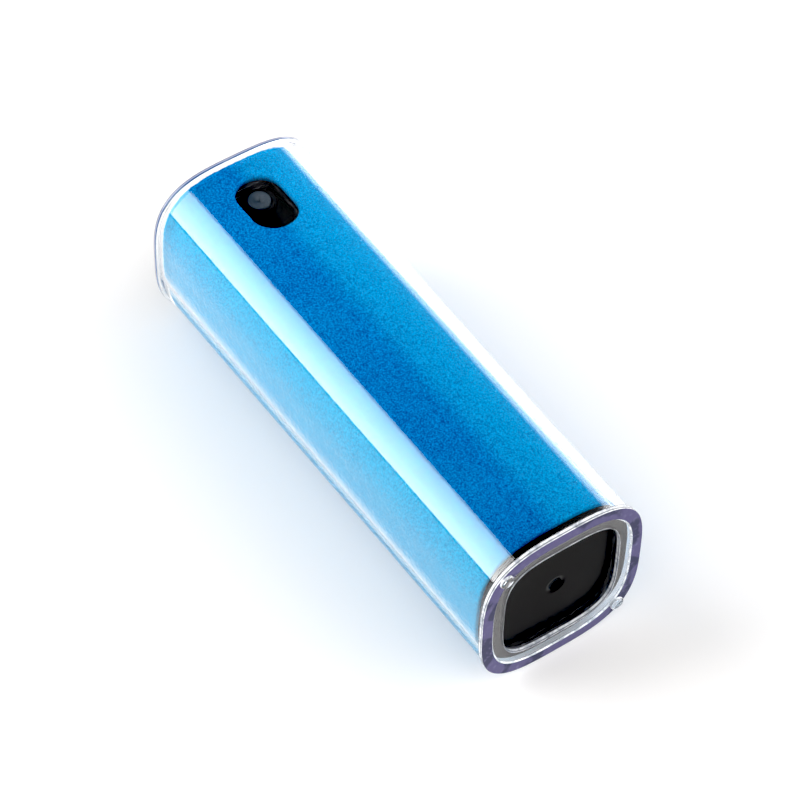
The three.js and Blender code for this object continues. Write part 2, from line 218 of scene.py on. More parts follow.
def clear_plastic():
    """Clear moulded plastic, slightly wavy, that lets light through to the cloth and the table."""
    made, t = material("clear_plastic")
    flow = t.noise(60.0, 2.0, 0.5)
    glass = t.add("ShaderNodeBsdfPrincipled", {
        "Base Color": rgb(0.985, 0.99, 1.0),
        "Roughness": t.ramp(flow, 0.3, 0.7, 0.0, 0.012),
        "IOR": 1.5,
        "Transmission Weight": 1.0,
        "Normal": t.bump(flow, 0.02, 0.0005),
    })
    through = t.add("ShaderNodeBsdfTransparent", {"Color": rgb(0.93, 0.94, 0.96)})
    path = t.add("ShaderNodeLightPath").outputs
    bounced = t.math("GREATER_THAN", path["Diffuse Depth"], 0.5)
    lighting = t.math("MAXIMUM", path["Is Shadow Ray"], bounced)
    mixed = t.add("ShaderNodeMixShader", {0: lighting, 1: glass.outputs[0], 2: through.outputs[0]})
    leaving = t.add("ShaderNodeBsdfTransparent", {"Color": WHITE_LIGHT})
    trapped = t.math("GREATER_THAN", path["Ray Depth"], TRAPPED_DEPTH)
    free = t.add("ShaderNodeMixShader", {0: trapped, 1: mixed.outputs[0], 2: leaving.outputs[0]})
    finish_with(t, free.outputs[0])
    return made


def painted_piped_light():
    """The cover's solid wall seen end-on: the light piped along it is painted on as a violet grey colour,
    in patches.
    """
    made, t = material("painted_piped_light")
    patches = t.noise(230.0, 1.0, 0.4)
    streaks = t.noise(900.0, 3.0, 0.6)
    # painted light: violet grey patches and lighter violet streaks for the light piped through the clear
    # wall
    tint = t.mix(t.ramp(patches, 0.42, 0.50), rgb(0.038, 0.04, 0.082), rgb(0.084, 0.076, 0.165))
    tint = t.mix(t.ramp(streaks, 0.52, 0.72, 0.0, 0.45), tint, rgb(0.15, 0.14, 0.26))
    shader = t.add("ShaderNodeBsdfPrincipled", {
        "Base Color": tint, "Roughness": 0.2, "Specular IOR Level": 0.2,
        "Normal": t.bump(patches, 0.15, 0.0004),
    })
    finish_with(t, shader.outputs[0])
    return made


def frosted_plastic_painted_light():
    """The cover's cut and moulded edges, which scatter light and look milky, with fine drag lines. Their
    pale tone is partly a painted reflection of the bright studio.

    Across the flange's outer edge runs a painted shade line, a grey band, and painted shade dims the edge
    to near black towards the flange's back.
    """
    made, t = material("frosted_edge_painted_light")
    lines = t.noise(500.0, 4.0, 0.7)
    # partly painted reflection: the pale milky tone stands in for the bright studio mirrored in these clear
    # edges
    tint = t.mix(t.ramp(lines, 0.36, 0.60), rgb(0.42, 0.46, 0.52), rgb(0.95, 0.97, 1.0))
    # painted shade: a grey line across the flange's outer edge, and near black towards the flange's back
    across = t.math("DIVIDE", t.math("SUBTRACT", RING_END, t.place_x()), FLANGE_THICK)
    painted_shade_line = t.math("MULTIPLY", t.ramp(across, 0.20, 0.30), t.ramp(across, 0.52, 0.42))
    tint = t.mix(t.math("MULTIPLY", painted_shade_line, 0.85), tint, rgb(0.09, 0.10, 0.13))
    tint = t.mix(t.ramp(across, 0.80, 0.90), tint, rgb(0.02, 0.02, 0.025))
    milky = t.add("ShaderNodeBsdfPrincipled", {
        "Base Color": tint, "Roughness": 0.3, "Normal": t.bump(lines, 0.3, 0.0003),
    })
    glass = t.add("ShaderNodeBsdfPrincipled", {
        "Base Color": rgb(0.98, 0.99, 1.0), "Roughness": 0.05, "IOR": 1.5, "Transmission Weight": 1.0,
    })
    share = t.ramp(lines, 0.3, 0.6, 0.55, 0.9)
    mixed = t.add("ShaderNodeMixShader", {0: share, 1: glass.outputs[0], 2: milky.outputs[0]})
    finish_with(t, mixed.outputs[0])
    return made


def painted_lip_light():
    """The lip's rim, with the piped light that leaves it painted on in lines: dark grey, pale and blue from
    the open end on.

    The painted lines show from -112 to 34 degrees round the axis. The rest of the rim is plain glass.
    """
    made, t = material("lip_edge_painted_light")
    across = t.math("DIVIDE", t.math("SUBTRACT", t.place_x(), OPEN_END), LIP_THICK)
    # painted light: lines of piped light across the lip, with a random pale haze
    tint = t.mix(t.ramp(across, 0.16, 0.28), rgb(0.04, 0.034, 0.04), rgb(0.34, 0.37, 0.52))
    tint = t.mix(t.ramp(across, 0.50, 0.62), tint, rgb(0.015, 0.07, 0.19))
    tint = t.mix(t.ramp(across, 0.84, 0.98), tint, rgb(0.5, 0.58, 0.66))
    haze = t.ramp(t.noise(300.0, 2.0, 0.5), 0.45, 0.75, 0.0, 0.3)
    tint = t.mix(haze, tint, rgb(0.42, 0.45, 0.5))
    solid = t.add("ShaderNodeBsdfPrincipled", {
        "Base Color": tint, "Roughness": 0.15, "Specular IOR Level": 0.3,
    })
    glass = t.add("ShaderNodeBsdfPrincipled", {
        "Base Color": rgb(0.98, 0.99, 1.0), "Roughness": 0.0, "IOR": 1.5, "Transmission Weight": 1.0,
    })
    turn = t.turn()
    seen = t.math("MULTIPLY", t.ramp(turn, 58.0, 34.0), t.ramp(turn, -135.0, -112.0))
    mixed = t.add("ShaderNodeMixShader", {0: seen, 1: glass.outputs[0], 2: solid.outputs[0]})
    finish_with(t, mixed.outputs[0])
    return made


def blue_microfiber():
    """Split-fibre cloth, whose tone round the body is painted light and shade: a shaded tone on the top's
    -Y half, lighter from the top's middle towards +Y, lighter again on the -Y side, and dimming towards the
    ring end.

    Where the cloth turns away, away from the top, a pale painted sheen shows. It stands for the fibres'
    pile and for the whitish reflection along the cover's sides.
    """
    made, t = material("blue_microfiber")
    grain = t.noise(3300.0, 4.0, 0.75)
    tufts = t.noise(700.0, 3.0, 0.6)
    cloud = t.noise(60.0, 3.0, 0.5)
    turn = t.turn()
    along = t.place_x()
    speck = t.ramp(grain, 0.36, 0.64)
    # painted shade and painted light: lit and shaded copies of the cloth's colour, picked by the angle
    # round the body
    painted_shade_tone, light, side = [t.mix(speck, rgb(*low), rgb(*high)) for low, high in CLOTH_TONES]
    # painted light: a soft step at the top's middle and a ramp on towards +Y make that side lighter
    step = t.ramp(turn, -3.0, 6.0, 0.0, 0.45)
    painted_light_slope = t.ramp(turn, 4.0, 42.0, 0.0, 0.55, smooth=False)
    colour = t.mix(t.math("ADD", step, painted_light_slope), painted_shade_tone, light)
    # painted light: the -Y side gets its own lighter tone
    colour = t.mix(t.ramp(turn, -38.0, -33.0), side, colour)
    worn = t.math("MULTIPLY", t.ramp(cloud, 0.35, 0.7), 0.18)
    colour = t.mix(worn, colour, light)
    # painted shade: the cloth dims towards the ring end
    painted_shade_to_ring_end = t.ramp(along, OPEN_END, RING_END, 0.0, 0.16, smooth=False)
    colour = t.mix(painted_shade_to_ring_end, colour, rgb(0.0, 0.0, 0.0))
    height = t.math("ADD", grain, t.math("MULTIPLY", tufts, 0.8))
    shader = t.add("ShaderNodeBsdfPrincipled", {
        "Base Color": colour, "Roughness": 0.95, "Specular IOR Level": 0.0,
        "Sheen Weight": 0.04, "Sheen Roughness": 0.4, "Sheen Tint": rgb(0.6, 0.88, 1.0),
        "Normal": t.bump(height, 0.5, 0.00025),
    })
    # painted sheen: a pale diffuse layer mixed in where the cloth faces away, off the top, standing for the
    # fibres' pile and the cover's whitish reflection
    grazing = t.add("ShaderNodeLayerWeight", {"Blend": 0.5}).outputs["Facing"]
    outside = t.ramp(t.math("ABSOLUTE", turn), 18.0, 28.0)
    painted_sheen_share = t.math("MULTIPLY", outside, t.ramp(grazing, PAINTED_SHEEN_START, PAINTED_SHEEN_END, 0.0, 0.9))
    painted_sheen_layer = t.add("ShaderNodeBsdfDiffuse", {"Color": rgb(0.78, 0.90, 0.98), "Roughness": 1.0})
    sheen = t.add("ShaderNodeMixShader", {0: painted_sheen_share, 1: shader.outputs[0], 2: painted_sheen_layer.outputs[0]})
    finish_with(t, sheen.outputs[0])
    return made


def dark_plastic(name, colour, rough_low, rough_high, grain_size, shine):
    """Moulded plastic with a fine spark-eroded grain."""
    made, t = material(name)
    grain = t.noise(1.0 / grain_size, 3.0, 0.6)
    cloud = t.noise(120.0, 2.0, 0.5)
    shade = t.mix(t.ramp(cloud, 0.3, 0.7), rgb(*colour), rgb(*[c * 1.35 for c in colour]))
    shader = t.add("ShaderNodeBsdfPrincipled", {
        "Base Color": shade,
        "Roughness": t.ramp(grain, 0.3, 0.7, rough_low, rough_high),
        "IOR": 1.46, "Specular IOR Level": shine,
        "Normal": t.bump(grain, 0.12, 0.00004),
    })
    finish_with(t, shader.outputs[0])
    return made


def moulded(name, colour, rough, subsurface=0.0):
    """A pale moulded material, milky where light enters it."""
    made, t = material(name)
    cloud = t.noise(150.0, 3.0, 0.5)
    fine = t.noise(2500.0, 2.0, 0.5)
    shade = t.mix(t.ramp(cloud, 0.3, 0.7), rgb(*[c * 0.92 for c in colour]), rgb(*colour))
    shader = t.add("ShaderNodeBsdfPrincipled", {
        "Base Color": shade,
        "Roughness": t.ramp(fine, 0.3, 0.7, rough * 0.85, rough * 1.15),
        "Subsurface Weight": subsurface, "Subsurface Radius": (MM, MM, MM),
        "Normal": t.bump(fine, 0.06, 0.00003),
    })
    finish_with(t, shader.outputs[0])
    return made


def drawn_steel():
    """Steel wire and ball, with fine drawing lines."""
    made, t = material("drawn_steel")
    lines = t.noise(1800.0, 3.0, 0.6)
    shader = t.add("ShaderNodeBsdfPrincipled", {
        "Base Color": rgb(0.62, 0.62, 0.63), "Metallic": 1.0,
        "Roughness": t.ramp(lines, 0.3, 0.7, 0.18, 0.32),
        "Normal": t.bump(lines, 0.08, 0.00002),
    })
    finish_with(t, shader.outputs[0])
    return made


# ---- mesh helpers ---------------------------------------------------------------------------------
def superellipse(half, exponent, sides):
    """Points (y, z) round a rounded square, spread evenly along its outline."""
    angle = np.linspace(0, 2 * math.pi, 4 * sides + 1)
    c, s = np.cos(angle), np.sin(angle)
    radius = half * (np.abs(c) ** exponent + np.abs(s) ** exponent) ** (-1 / exponent)
    path = np.stack([radius * c, radius * s], 1)
    run = np.concatenate([[0], np.cumsum(np.linalg.norm(np.diff(path, axis=0), axis=1))])
    even = np.linspace(0, run[-1], sides + 1)[:-1]
    return np.stack([np.interp(even, run, path[:, k]) for k in (0, 1)], 1)


def rounded(points):
    """Rows (x, half, exponent) of a closed profile, from its corners (x, half, exponent, radius).

    Each corner gets an arc and a support point just outside each end of the arc, so that smooth shading
    keeps the flats flat.
    """
    out = []
    count = len(points)
    for i, (x, half, exponent, radius) in enumerate(points):
        here = np.array([x, half])
        before, after = np.array(points[i - 1][:2]), np.array(points[(i + 1) % count][:2])
        if radius <= 0:
            out.append((x, half, exponent))
            continue
        a, b = before - here, after - here
        room = min(np.linalg.norm(a), np.linalg.norm(b))
        a, b = a / np.linalg.norm(a), b / np.linalg.norm(b)
        turn = math.acos(max(-1.0, min(1.0, float(a @ b))))
        reach = min(radius / math.tan(turn / 2), room * ARC_ROOM)
        radius = reach * math.tan(turn / 2)
        middle = here + (a + b) / np.linalg.norm(a + b) * radius / math.sin(turn / 2)
        start, end = here + a * reach - middle, here + b * reach - middle
        sweep = math.pi - turn
        guard = min(reach + ARC_GUARD, room * GUARD_ROOM)
        out.append((*(here + a * guard), exponent))
        for k in range(ARC_STEPS + 1):
            share = k / ARC_STEPS
            mixed = start * math.sin((1 - share) * sweep) + end * math.sin(share * sweep)
            out.append((*(middle + mixed / math.sin(sweep)), exponent))
        out.append((*(here + b * guard), exponent))
    return out


def mesh_object(name, vertices, faces, materials, face_material=None, smooth=True):
    mesh = bpy.data.meshes.new(name)
    mesh.from_pydata([tuple(v) for v in vertices], [], faces)
    for item in materials:
        mesh.materials.append(item)
    if face_material is not None:
        mesh.polygons.foreach_set("material_index", face_material)
    mesh.polygons.foreach_set("use_smooth", [smooth] * len(mesh.polygons))
    mesh.update()
    obj = bpy.data.objects.new(name, mesh)
    bpy.context.scene.collection.objects.link(obj)
    face_out(obj)
    return obj


def face_out(obj):
    """Turns every face outwards."""
    work = bmesh.new()
    work.from_mesh(obj.data)
    bmesh.ops.recalc_face_normals(work, faces=work.faces)
    if work.calc_volume(signed=True) < 0:
        bmesh.ops.reverse_faces(work, faces=work.faces)
    work.to_mesh(obj.data)
    work.free()


def loft(name, profile, materials, sides=192, closed=True, pick=None):
    """A skin through rounded-square rings (x, half, exponent): closed on itself, or with flat ends.

    pick(x, half) gives the material number of the strip with that middle.
    """
    vertices, faces, numbers = [], [], []
    for x, half, exponent in profile:
        ring = superellipse(half, exponent, sides)
        vertices += [(x, y, AXIS_Z + z) for y, z in ring]
    rows = len(profile)
    for r in range(rows if closed else rows - 1):
        here, there = r * sides, ((r + 1) % rows) * sides
        x = (profile[r][0] + profile[(r + 1) % rows][0]) / 2
        half = (profile[r][1] + profile[(r + 1) % rows][1]) / 2
        number = pick(x, half) if pick else 0
        for i in range(sides):
            j = (i + 1) % sides
            faces.append((here + i, here + j, there + j, there + i))
            numbers.append(number)
    if not closed:
        last = (rows - 1) * sides
        for start, x in ((0, profile[0][0]), (last, profile[-1][0])):
            centre = len(vertices)
            vertices.append((x, 0, AXIS_Z))
            for i in range(sides):
                faces.append((start + i, start + (i + 1) % sides, centre))
                numbers.append(0)
    return mesh_object(name, vertices, faces, materials, numbers)


def turned(name, profile, materials, axis="x", origin=(0, 0, 0), sides=64, closed=False):
    """A body turned about X or Z from (place along the axis, radius) rows.

    The rows end on the axis, or close on themselves.
    """
    vertices, faces, rings = [], [], []
    for along, radius in profile:
        if radius == 0:
            rings.append([len(vertices)])
            vertices.append((along, 0, 0))
            continue
        rings.append(list(range(len(vertices), len(vertices) + sides)))
        for i in range(sides):
            angle = 2 * math.pi * i / sides
            vertices.append((along, radius * math.cos(angle), radius * math.sin(angle)))
    spans = list(zip(rings, rings[1:])) + ([(rings[-1], rings[0])] if closed else [])
    for a, b in spans:
        for i in range(sides):
            j = (i + 1) % sides
            corners = [a[i % len(a)], a[j % len(a)], b[j % len(b)], b[i % len(b)]]
            unique = list(dict.fromkeys(corners))
            if len(unique) > 2:
                faces.append(unique)
    placed = []
    for x, y, z in vertices:
        p = (x, y, z) if axis == "x" else (-z, y, x)
        placed.append((p[0] + origin[0], p[1] + origin[1], p[2] + origin[2]))
    return mesh_object(name, placed, faces, materials)


def boolean(obj, tool, operation):
    """Joins the tool to the object or cuts it away, and removes the tool."""
    modifier = obj.modifiers.new(operation.lower(), "BOOLEAN")
    modifier.object = tool
    modifier.operation = operation
    modifier.solver = "EXACT"
    apply_modifiers(obj)
    bpy.data.objects.remove(tool)


def apply_modifiers(obj):
    """Replaces the mesh by its evaluated one."""
    graph = bpy.context.evaluated_depsgraph_get()
    mesh = bpy.data.meshes.new_from_object(obj.evaluated_get(graph))
    old = obj.data
    obj.modifiers.clear()
    obj.data = mesh
    bpy.data.meshes.remove(old)
    mesh.name = obj.name


def slot_prism(centre_x, length, width, surface_z):
    """A prism with round ends along X that cuts a slot through a wall with this top surface."""
    reach, radius = (length - width) / 2, width / 2
    steps = 24
    outline = []
    for side in (1, -1):
        for k in range(steps + 1):
            angle = -math.pi / 2 + math.pi * k / steps
            x = centre_x + side * (reach + radius * math.cos(angle))
            outline.append((x, side * radius * math.sin(angle)))
    count = len(outline)
    heights = (surface_z - CUT_DEPTH, surface_z + CUT_ABOVE)
    vertices = [(x, y, z) for z in heights for x, y in outline]
    faces = [tuple(range(count)), tuple(range(count, 2 * count))]
    faces += [(i, (i + 1) % count, count + (i + 1) % count, count + i) for i in range(count)]
    return mesh_object("cutter", vertices, faces, [])


def block(x, y, z, bevel, materials):
    """A box with rounded edges, from (low, high) pairs. z counts from the axis."""
    work = bmesh.new()
    bmesh.ops.create_cube(work, size=1.0)
    size = Vector((x[1] - x[0], y[1] - y[0], z[1] - z[0]))
    middle = Vector(((x[0] + x[1]) / 2, (y[0] + y[1]) / 2, AXIS_Z + (z[0] + z[1]) / 2))
    placing = Matrix.Translation(middle) @ Matrix.Diagonal((*size, 1.0))
    bmesh.ops.transform(work, matrix=placing, verts=work.verts)
    bmesh.ops.bevel(work, geom=work.edges[:], offset=bevel, segments=3, profile=0.5, affect="EDGES")
    mesh = bpy.data.meshes.new("block")
    work.to_mesh(mesh)
    work.free()
    for item in materials:
        mesh.materials.append(item)
    obj = bpy.data.objects.new("block", mesh)
    bpy.context.scene.collection.objects.link(obj)
    return obj


# ---- pieces ---------------------------------------------------------------------------------------
def make_gate(side, materials):
    """A gate mark: a short stub on the end ring, with a rounded rim and a shallow hollow in its front."""
    root = RING_END - RING_THICK + 0.3 * MM
    stub = [(root, 0.0), (root, GATE_RADIUS)]
    for k in range(7):
        angle = math.pi / 2 * k / 6
        across = GATE_RADIUS - GATE_ROUND * (1 - math.cos(angle))
        stub.append((RING_END + GATE_HEIGHT - GATE_ROUND * (1 - math.sin(angle)), across))
    stub += [(RING_END + 0.36 * MM, 0.6 * MM), (RING_END + 0.3 * MM, 0.0)]
    place = (0, side * GATE_OFFSET, AXIS_Z - side * GATE_OFFSET)
    gate = turned("gate", stub, materials, origin=place, sides=48)
    for polygon in gate.data.polygons:
        if abs(polygon.normal.x) < 0.5:
            polygon.material_index = FROSTED_PAINTED_LIGHT
    return gate


def make_cover(materials):
    """A tube with a lip at its open end, and a flange, an inward ring and two gate marks at the other."""
    lip_half = (cover_high.z - cover_low.z) / 2
    outer_open, outer_ring = 16.38 * MM, 15.78 * MM     # the wall's draft, outside and inside
    inner_open, inner_ring = 15.3 * MM, 14.75 * MM
    recess = 13.9 * MM
    lip = OPEN_END + LIP_THICK
    flange = RING_END - FLANGE_THICK
    ring = RING_END - RING_THICK
    face = RING_END - RING_RECESS
    n = CORNER
    profile = rounded([
        (OPEN_END, lip_half, n, 0.1 * MM),
        (lip, lip_half, n, 0.1 * MM),
        (lip, outer_open, n, 0.08 * MM),
        (flange, outer_ring, n, 0.1 * MM),
        (flange, FLANGE_HALF, n, 0.1 * MM),
        (RING_END, FLANGE_HALF, n, 0.1 * MM),
        (RING_END, RIM_INNER, n, 0.1 * MM),
        (face, recess, n, 0.08 * MM),
        (face, RING_OPENING, OPENING_CORNER, 0.2 * MM),
        (ring, RING_OPENING, OPENING_CORNER, 0.1 * MM),
        (ring, inner_ring, n, 0.3 * MM),
        (OPEN_END, inner_open, n, 0.2 * MM),
    ])

    def finish_at(x, half):
        if x > RING_END - 0.09 * MM and half > 14.2 * MM:
            return END_FACE
        on_flange = half > FLANGE_HALF - 0.01 * MM and flange < x < RING_END
        in_opening = half < RING_OPENING + 0.12 * MM
        on_recess_edge = face < x and 13.92 * MM < half < 14.12 * MM
        if on_flange or in_opening or on_recess_edge:
            return FROSTED_PAINTED_LIGHT
        return LIP_RIM if half > lip_half - 0.01 * MM else CLEAR_WALL

    cover = loft("clear_slip_cover", profile, materials, pick=finish_at)
    for side in (-1, 1):
        boolean(cover, make_gate(side, materials), "UNION")
    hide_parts("clear_cover")
    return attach(cover, "cover")


def add_nap(mesh):
    """Moves the cloth's outside up and down by its pile, and its cut ends in and out."""
    rng = np.random.default_rng(SEED)
    co = np.zeros(len(mesh.vertices) * 3)
    mesh.vertices.foreach_get("co", co)
    co = co.reshape(-1, 3)
    normal = np.zeros(len(mesh.vertices) * 3)
    mesh.vertices.foreach_get("normal", normal)
    normal = normal.reshape(-1, 3)
    radial = np.linalg.norm(normal[:, 1:], axis=1) > 0.7
    outward = (normal[:, 1] * co[:, 1] + normal[:, 2] * (co[:, 2] - AXIS_Z)) > 0
    nap = rng.normal(0, NAP, len(co)).clip(-NAP_LIMIT, NAP_LIMIT)
    co += normal * (nap * (radial & outward))[:, None]
    at_low = np.abs(co[:, 0] - sleeve_low.x) < SAME_PLACE
    at_high = np.abs(co[:, 0] - sleeve_high.x) < SAME_PLACE
    co[:, 0] += (at_low | at_high) * rng.uniform(-CUT_EDGE_NAP, CUT_EDGE_NAP, len(co))
    mesh.vertices.foreach_set("co", co.ravel())
    mesh.update()


def make_sleeve(cloth):
    """The cloth stretched round the body, with its window."""
    outer = (sleeve_high.z - sleeve_low.z) / 2
    inner = outer - SLEEVE_THICK
    length = sleeve_high.x - sleeve_low.x
    rows = int(length / SLEEVE_GRID)
    outside = [(sleeve_low.x + length * i / rows, outer, CORNER) for i in range(rows + 1)]
    inside = [(sleeve_high.x, inner, CORNER), (sleeve_low.x, inner, CORNER)]
    sleeve = loft("microfiber_cloth_sleeve", outside + inside, [cloth], sides=SLEEVE_SIDES)
    cutter = slot_prism(WINDOW_X, WINDOW_LENGTH, WINDOW_WIDTH, AXIS_Z + outer)
    boolean(sleeve, cutter, "DIFFERENCE")
    add_nap(sleeve.data)
    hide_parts("microfiber_sleeve")
    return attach(sleeve, "sprayer")


def make_housing(black):
    """The moulded tube under the cloth, with a window that runs out as a slot to the button's end."""
    outer = (housing_high.z - housing_low.z) / 2
    inner = outer - HOUSING_WALL
    profile = rounded([
        (housing_low.x, outer, CORNER, 0.2 * MM),
        (housing_high.x, outer, CORNER, 0.15 * MM),
        (housing_high.x, inner, CORNER, 0.1 * MM),
        (housing_low.x, inner, CORNER, 0.2 * MM),
    ])
    housing = loft("housing_shell", profile, [black], sides=BODY_SIDES)
    top = AXIS_Z + outer
    length, width = WINDOW_LENGTH - 2 * WINDOW_LEDGE, WINDOW_WIDTH - 2 * WINDOW_LEDGE
    boolean(housing, slot_prism(WINDOW_X, length, width, top), "DIFFERENCE")
    reach = WINDOW_X - housing_low.x
    boolean(housing, slot_prism(housing_low.x, 2 * reach, width, top), "DIFFERENCE")
    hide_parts("body_housing")
    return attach(housing, "sprayer")


def make_base(black, dimple_shade_paint):
    """A hollow plug in the body's end, a flange, and a plain face with a dimple in the middle."""
    flange = (base_high.z - base_low.z) / 2
    step = base_low.x + PLUG_REACH
    face = base_high.x
    profile = rounded([
        (base_low.x, PLUG_BORE, CORNER, 0.1 * MM),
        (base_low.x, PLUG_HALF, CORNER, 0.2 * MM),
        (step, PLUG_HALF, CORNER, 0.1 * MM),
        (step, flange, CORNER, 0.1 * MM),
        (face, flange, CORNER, 0.35 * MM),
        (face, 6.0 * MM, 2.6, 0.0),
    ])
    rim = [(face, 2.2 * MM, ROUND), (face, DIMPLE_RADIUS + 0.06 * MM, ROUND)]
    dish = []
    for k in range(7):
        angle = math.pi / 2 * k / 6
        x = face - 0.06 * MM - 0.3 * MM * math.sin(angle)
        dish.append((x, DIMPLE_RADIUS * math.cos(angle) + 0.02 * MM, ROUND))
    rings = [(step - 0.3 * MM, PLUG_BORE, CORNER)] + profile + rim + dish
    # painted shade: the dimple gets a blacker, duller finish than the face
    base = loft("base_panel", rings, [black, dimple_shade_paint], sides=BODY_SIDES, closed=False,
                pick=lambda x, half: int(half < DIMPLE_RADIUS + 0.05 * MM))
    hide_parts("base_cap")
    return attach(base, "sprayer")


def make_nozzle(grey):
    """A round insert with a conical dip round its bore."""
    face, bottom = nozzle_high.z, nozzle_low.z
    radius = (nozzle_high.x - nozzle_low.x) / 2
    hollow, bore = 1.1 * MM, 0.17 * MM
    profile = [
        (bottom, hollow),
        (bottom, radius - 0.1 * MM),
        (bottom + 0.1 * MM, radius),
        (face - 0.2 * MM, radius),
        (face - 0.08 * MM, radius - 0.04 * MM),
        (face, radius - 0.18 * MM),
        (face, 0.95 * MM),
        (face - 0.05 * MM, 0.86 * MM),
        (face - 0.3 * MM, 0.3 * MM),
        (face - 0.32 * MM, bore),
        (face - 0.7 * MM, bore),
        (face - 0.72 * MM, hollow),
    ]
    origin = ((nozzle_low.x + nozzle_high.x) / 2, 0.0, 0)
    nozzle = turned("mist_nozzle", profile, [grey], axis="z", origin=origin, closed=True)
    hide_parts("nozzle_insert")
    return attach(nozzle, "plunger")


def make_button(black):
    """A cup with a dished press face, a socket for the head, two hooks and a notch for the spray arm."""
    face, end = button_low.x, button_high.x
    half, wall, front = 10.4 * MM, 1.2 * MM, 1.5 * MM
    inside = face + front
    dish = []
    for k in range(1, 11):
        sunk = DISH_DEPTH * (1 - (k / 10) ** 2) ** 1.5
        dish.append((face + sunk, DISH_HALF * k / 10, CORNER))
    rim = rounded([
        (face, DISH_HALF, CORNER, 0.0),
        (face + 0.25 * MM, half - 0.6 * MM, CORNER, 0.6 * MM),
        (face + 0.8 * MM, half, CORNER, 0.5 * MM),
        (end, half, CORNER, 0.15 * MM),
        (end, half - wall, CORNER, 0.15 * MM),
        (inside, half - wall, CORNER, 0.3 * MM),
        (inside, 3.0 * MM, CORNER, 0.0),
    ])
    button = loft("press_button_cap", dish + rim[1:], [black], sides=BODY_SIDES, closed=False)
    root, tip = inside - 0.5 * MM, inside + 2.9 * MM
    ring = [(root, SOCKET_BORE), (root, SOCKET_RADIUS), (tip, SOCKET_RADIUS), (tip, SOCKET_BORE)]
    socket = turned("socket", ring, [black], origin=(0, 0, AXIS_Z), closed=True)
    boolean(button, socket, "UNION")
    for side in (-1, 1):
        along = (end - 0.5 * MM, end - 0.04 * MM)
        across = sorted((side * 9.4 * MM, side * 11.6 * MM))
        hook = block(along, across, (-3 * MM, 3 * MM), 0.12 * MM, [black])
        boolean(button, hook, "UNION")
    along = (nozzle_low.x - 1.2 * MM, end + MM)
    across = (-3.3 * MM, 3.3 * MM)
    notch = block(along, across, (6 * MM, half + MM), 0.2 * MM, [black])
    boolean(button, notch, "DIFFERENCE")
    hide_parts("press_button")
    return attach(button, "plunger")


def make_collar(black):
    """The guide ring in the body's open end, with the key that fills the end of the housing's slot."""
    low, high = collar_low.x, collar_high.x
    outer, inner = 11.9 * MM, 10.6 * MM
    profile = rounded([
        (low, outer, CORNER, 0.25 * MM),
        (high, outer, CORNER, 0.15 * MM),
        (high, inner, CORNER, 0.15 * MM),
        (low, inner, CORNER, 0.45 * MM),
    ])
    collar = loft("guide_collar", profile, [black], sides=BODY_SIDES)
    across = (-KEY_HALF_WIDTH, KEY_HALF_WIDTH)
    key = block((low, high - 0.3 * MM), across, (outer - 0.6 * MM, KEY_TOP), 0.15 * MM, [black])
    boolean(collar, key, "UNION")
    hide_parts("top_collar")
    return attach(collar, "sprayer")


def make_spring(steel):
    """A wire coil. Its first turn lies nearly closed, and its last one folds back into the turn before."""
    low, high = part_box("pump_spring")
    start, stop = low.x + WIRE_RADIUS, high.x - WIRE_RADIUS
    steps, sides = 40, 12
    count = COIL_TURNS * steps
    closed_pitch = 2 * WIRE_RADIUS
    forward = Vector((1, 0, 0))
    vertices, faces = [], []
    for i in range(count + 1):
        turn = COIL_TURNS * i / count
        share = min(max((turn - DEAD_TURNS) / (COIL_TURNS - 2 * DEAD_TURNS), 0.0), 1.0)
        dead = min(turn, DEAD_TURNS) - max(turn - COIL_TURNS + DEAD_TURNS, 0.0)
        x = start + closed_pitch * dead + (stop - start - DEAD_TURNS * closed_pitch) * share
        angle = 2 * math.pi * turn
        outward = Vector((0, math.cos(angle), math.sin(angle)))
        middle = Vector((x, 0, AXIS_Z)) + outward * COIL_RADIUS
        for k in range(sides):
            around = 2 * math.pi * k / sides
            offset = outward * math.cos(around) + forward * math.sin(around)
            vertices.append(middle + offset * WIRE_RADIUS)
    for i in range(count):
        for k in range(sides):
            j = (k + 1) % sides
            faces.append((i * sides + k, i * sides + j, (i + 1) * sides + j, (i + 1) * sides + k))
    faces.append(tuple(range(sides)))
    faces.append(tuple(range(count * sides, (count + 1) * sides)))
    spring = mesh_object("return_spring", vertices, faces, [steel])
    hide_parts("pump_spring")
    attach(spring, "sprayer")
    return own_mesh(spring)


def dress(node, finish):
    """A CAD node shown as it is: its faceted curves shaded smooth and its sharp edges softened."""
    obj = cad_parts[node]
    mesh = obj.data
    mesh.materials.clear()
    mesh.materials.append(finish)
    mesh.polygons.foreach_set("use_smooth", [True] * len(mesh.polygons))
    weld = obj.modifiers.new("weld", "WELD")
    weld.merge_threshold = WELD_REACH
    bevel = obj.modifiers.new("edges", "BEVEL")
    bevel.limit_method = "ANGLE"
    bevel.angle_limit = math.radians(SHARP_ANGLE)
    bevel.width = EDGE_BEVEL
    bevel.segments = 2
    bevel.use_clamp_overlap = True
    shade = obj.modifiers.new("shading", "WEIGHTED_NORMAL")
    shade.keep_sharp = True


